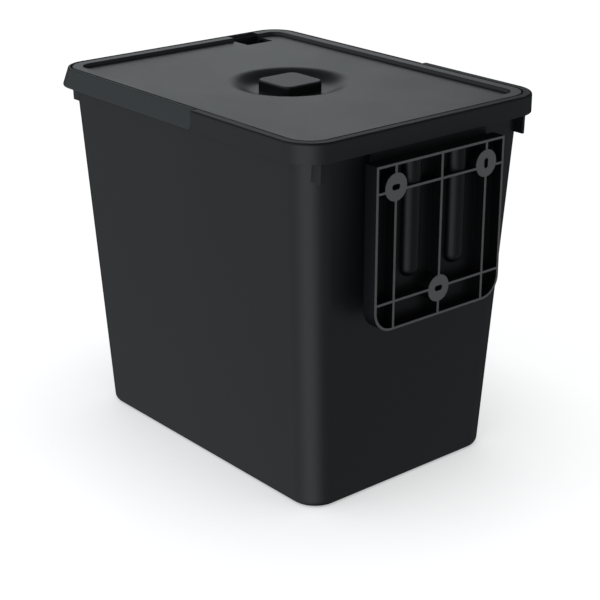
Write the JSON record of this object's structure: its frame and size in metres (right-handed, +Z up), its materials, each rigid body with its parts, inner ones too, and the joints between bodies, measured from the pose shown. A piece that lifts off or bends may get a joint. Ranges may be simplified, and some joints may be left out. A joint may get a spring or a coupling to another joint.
{
  "type": "lidded waste bin with door bracket",
  "caption": "Rectangular tapered plastic waste bin with a lift-off lid, finger dish and knob, a swing carrying handle and a hook-on bracket for a cupboard door.",
  "frame": {"origin": "centre of the body's base, on the floor", "axes": "+Z up, +X towards the door that the bracket is screwed to, handle crossbar at rest on the -X side"},
  "size_m": [0.359, 0.261, 0.32],
  "materials": {
    "body_plastic": "fine-textured black polypropylene, satin",
    "lid_plastic": "fine-grained dark grey polypropylene, matt",
    "knob_plastic": "fine-grained dark grey polypropylene, matt",
    "handle_plastic": "smooth dark grey polypropylene, satin",
    "pin_plastic": "black acetal, smooth",
    "bracket_plastic": "black polypropylene, satin",
    "screw_steel": "zinc-plated steel"
  },
  "bodies": {
    "bin": {"bin_body": "body_plastic", "handle_pin_left": "pin_plastic", "handle_pin_right": "pin_plastic"},
    "lid": {"lid": "lid_plastic", "lid_knob": "knob_plastic", "knob_screw": "screw_steel", "knob_washer": "screw_steel"},
    "handle": {"carry_handle": "handle_plastic"},
    "bracket": {"door_bracket": "bracket_plastic"}
  },
  "joints": [
    {"name": "lid_lift", "type": "slide", "parent": "bin", "child": "lid", "axis": [0, 0, 1], "range_m": [0, 0.12]},
    {"name": "handle_swing", "type": "hinge", "parent": "bin", "child": "handle", "pos_m": [0.022, 0, 0.3115], "axis": [0, 1, 0], "range_deg": [0, 90]},
    {"name": "bracket_release", "type": "slide", "parent": "bin", "child": "bracket", "axis": [0, 0, -1], "range_m": [0, 0.03]}
  ]
}
